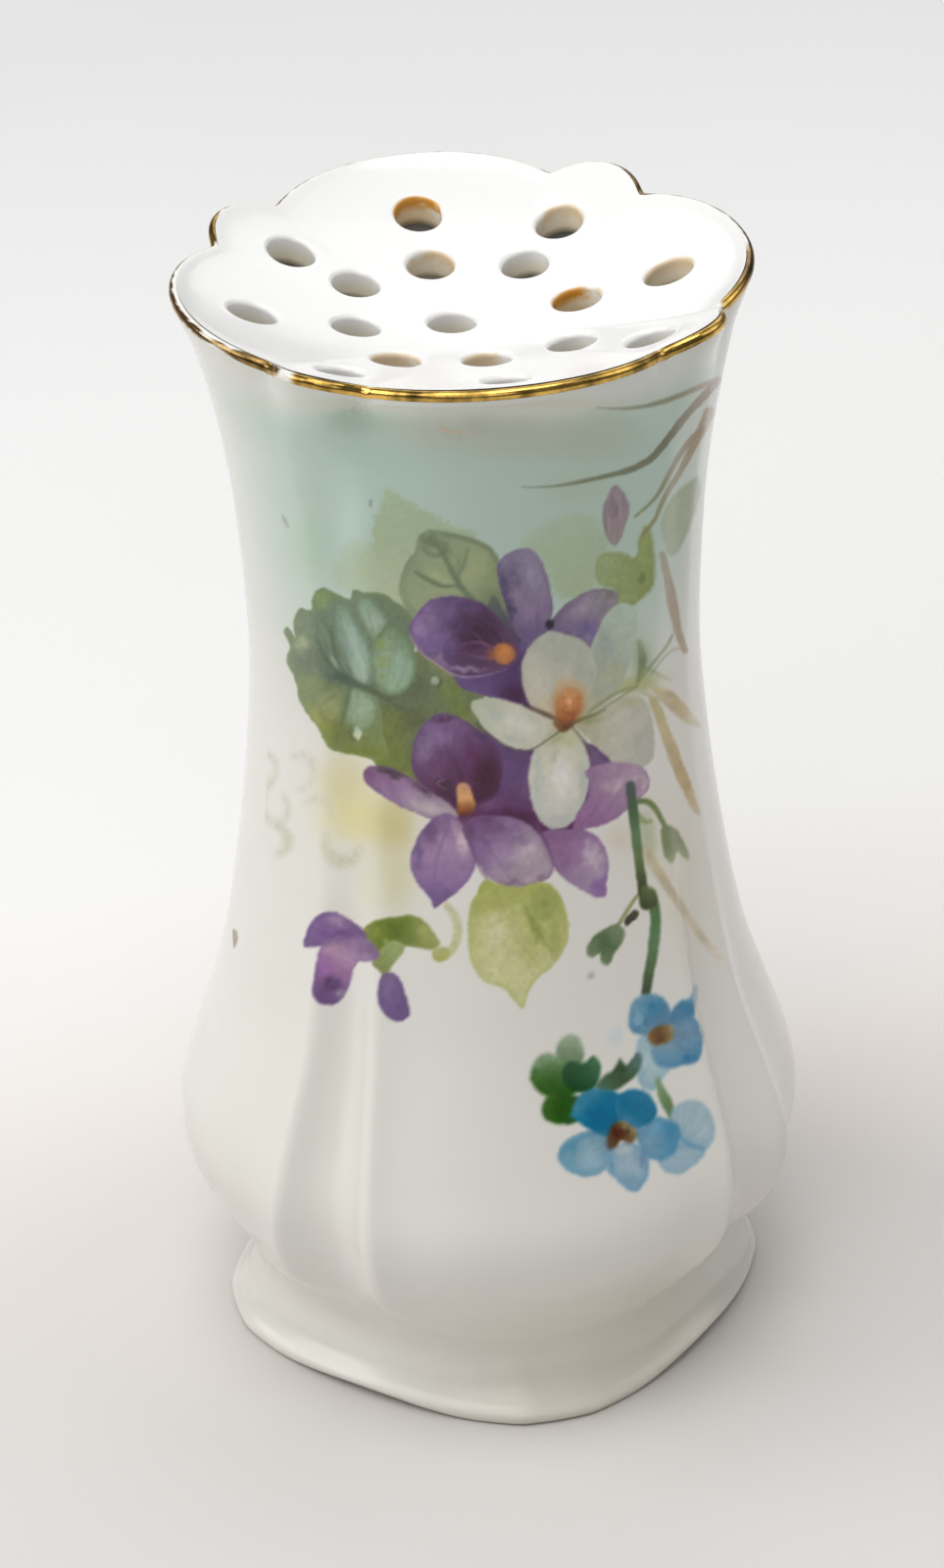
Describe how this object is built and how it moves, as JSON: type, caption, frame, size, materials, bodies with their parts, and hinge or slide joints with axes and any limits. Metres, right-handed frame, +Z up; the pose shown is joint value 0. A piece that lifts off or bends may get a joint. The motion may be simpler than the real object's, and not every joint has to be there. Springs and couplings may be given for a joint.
{
  "type": "hatpin holder",
  "caption": "Porcelain hatpin holder with a waisted fluted body, scalloped gilt rim, dished pierced top and hand-coloured violets.",
  "frame": {"origin": "on the table, under the middle of the foot", "axes": "+Z up along the body's axis; -Y faces the front, the middle of the wide flute that carries the flowers; +X to its right"},
  "size_m": [0.066, 0.066, 0.1202],
  "materials": {
    "white_porcelain": "gloss",
    "unglazed_porcelain": "matte",
    "gilding": "worn gloss",
    "enamel_colours": "soft gloss"
  },
  "bodies": {
    "root": {"body_wall": "white_porcelain", "base_floor": "unglazed_porcelain", "pierced_top": "white_porcelain", "rim_gilding": "gilding"}
  },
  "joints": []
}
